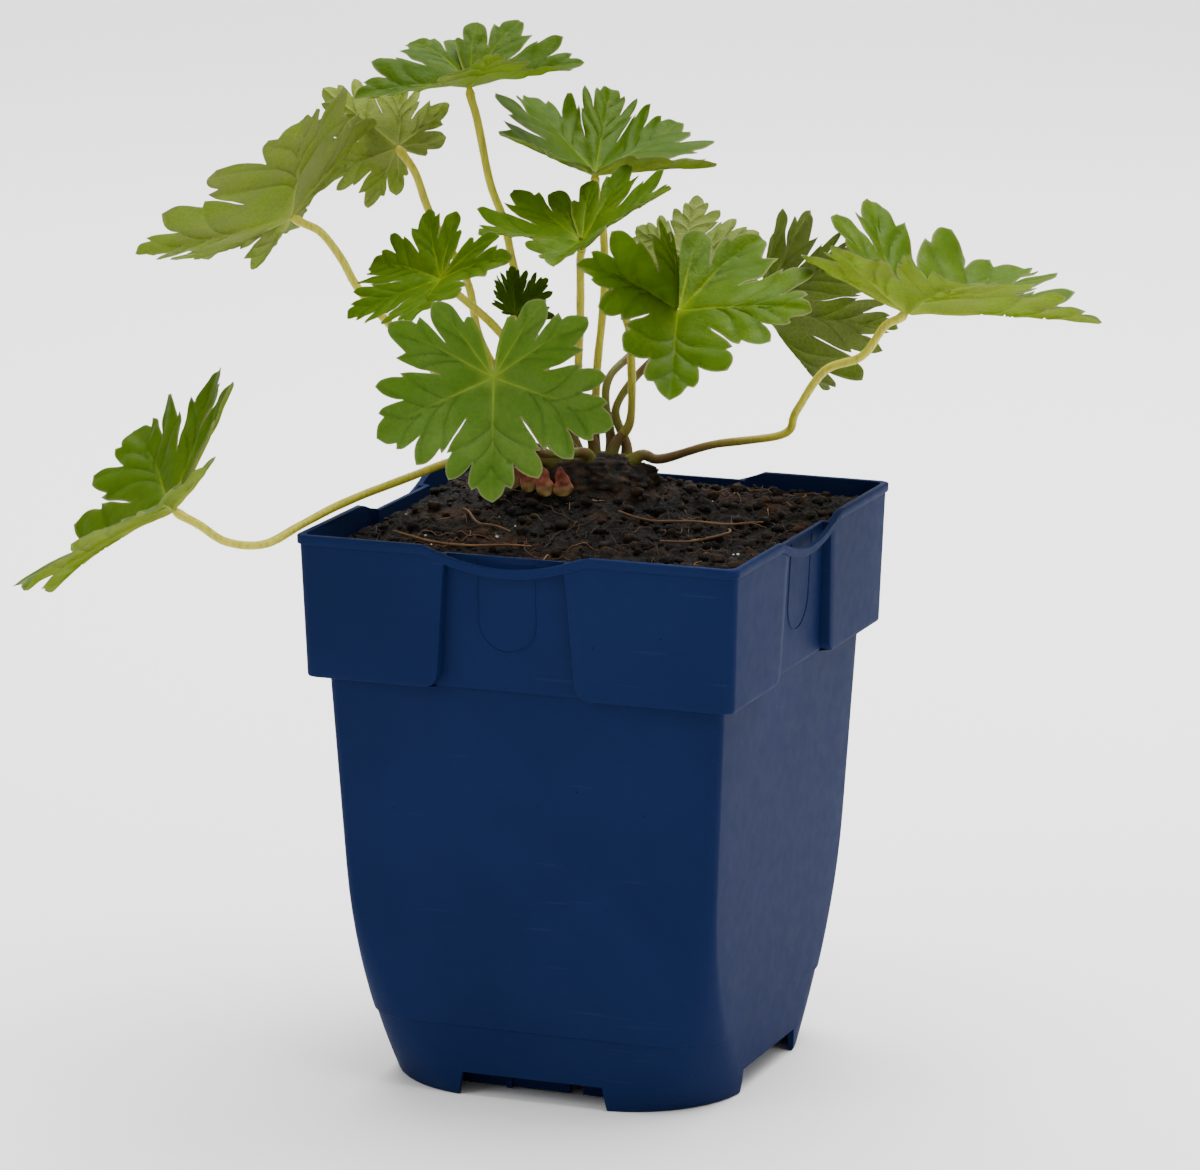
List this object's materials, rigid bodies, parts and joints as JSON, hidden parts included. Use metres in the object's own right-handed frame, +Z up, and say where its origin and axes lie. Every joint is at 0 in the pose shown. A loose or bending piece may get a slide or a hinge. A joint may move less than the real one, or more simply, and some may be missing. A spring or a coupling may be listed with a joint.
{
  "type": "potted hardy geranium",
  "caption": "Young leafy hardy geranium (cranesbill) in a square nursery pot of dark soil, for shelves, beds and garden displays.",
  "frame": {"origin": "on the floor under the middle of the whole plant's box, which is 9.4 mm in front of and beside the pot's own axis", "axes": "+Z up; -Y is the pot's front face, +X its right side"},
  "size_m": [0.2188, 0.1873, 0.2353],
  "materials": {
    "pot": "satin dark blue moulded plastic",
    "soil": "moist peat with fine fibres",
    "crown": "rough woody rootstock",
    "scale": "reddish bud scale",
    "stalk": "smooth green leaf stalk with fine hairs",
    "leaf": "soft satin green leaf blade",
    "root": "dry root fibre"
  },
  "bodies": {
    "root": {"bud_scale_1": "scale", "bud_scale_2": "scale", "bud_scale_3": "scale", "bud_scale_4": "scale", "crown": "crown", "leaf_back_mid": "leaf", "leaf_back_right": "leaf", "leaf_bright_mid": "leaf", "leaf_bright_right": "leaf", "leaf_far_left": "leaf", "leaf_far_right": "leaf", "leaf_front_low": "leaf", "leaf_mid_left": "leaf", "leaf_top": "leaf", "leaf_upper_back_left": "leaf", "leaf_upper_left": "leaf", "leaf_upper_mid": "leaf", "leaf_young": "leaf", "petiole_back_mid": "stalk", "petiole_back_right": "stalk", "petiole_bright_mid": "stalk", "petiole_bright_right": "stalk", "petiole_far_left": "stalk", "petiole_far_right": "stalk", "petiole_front_low": "stalk", "petiole_mid_left": "stalk", "petiole_top": "stalk", "petiole_upper_back_left": "stalk", "petiole_upper_left": "stalk", "petiole_upper_mid": "stalk", "petiole_young": "stalk", "pot": "pot", "potting_soil": "soil", "surface_root_1": "root", "surface_root_2": "root", "surface_root_3": "root", "surface_root_4": "root"}
  },
  "joints": []
}
